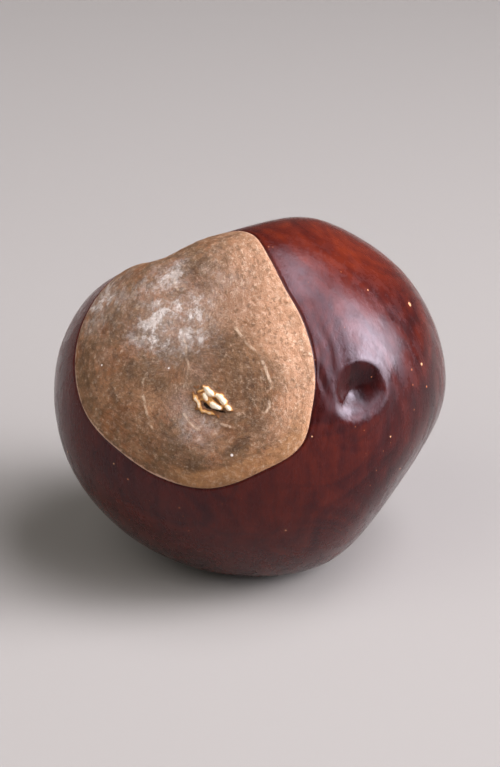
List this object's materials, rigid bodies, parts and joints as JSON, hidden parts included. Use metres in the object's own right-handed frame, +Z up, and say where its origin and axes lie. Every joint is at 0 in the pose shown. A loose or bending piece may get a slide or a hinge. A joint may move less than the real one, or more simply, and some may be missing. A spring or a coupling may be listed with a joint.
{
  "type": "conker",
  "caption": "Glossy brown horse chestnut seed, rounded with flattened sides and a pale scar, resting on a small flat spot.",
  "frame": {"origin": "on the surface that the seed rests on, under the middle of its outline", "axes": "+Z up, -Y towards the pale scar and the viewer, +X along the seed's longest extent"},
  "size_m": [0.038, 0.0346, 0.0351],
  "materials": {
    "seed_coat": "glossy mahogany brown coat with fine streaks, and a dull tan scar on one side"
  },
  "bodies": {
    "root": {"conker": "seed_coat"}
  },
  "joints": []
}
